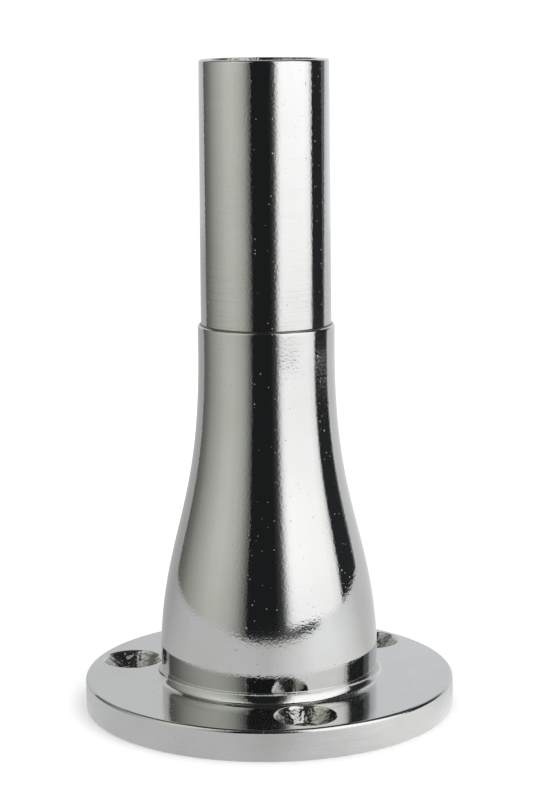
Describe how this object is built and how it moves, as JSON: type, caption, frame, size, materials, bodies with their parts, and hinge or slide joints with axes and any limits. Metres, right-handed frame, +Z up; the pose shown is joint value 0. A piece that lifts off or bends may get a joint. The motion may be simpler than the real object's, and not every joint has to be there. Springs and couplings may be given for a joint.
{
  "type": "stanchion base",
  "caption": "Round screw-down deck flange with a flared hollow body rising to a stepped, open-ended tube that holds the foot of a rail stanchion upright.",
  "frame": {"origin": "centre of the flange's underside, on the deck", "axes": "+Z up along the tube's axis; X and Y in the deck plane, with the first screw hole 43.5 degrees from +X towards +Y"},
  "size_m": [0.072, 0.072, 0.125],
  "materials": {
    "flange_chrome": "mirror polished top, finely brushed edge",
    "body_chrome": "mirror polished",
    "tube_chrome": "mirror polished with faint turning lines, rough cast bore",
    "fillet_chrome": "ground and polished",
    "braze": "dark, as brazed",
    "root_weld": "as welded"
  },
  "bodies": {
    "root": {"mounting_flange": "flange_chrome", "bell_body": "body_chrome", "spigot_tube": "tube_chrome", "foot_weld_fillet": "fillet_chrome", "neck_braze_ring": "braze", "root_weld_ring": "root_weld"}
  },
  "joints": []
}
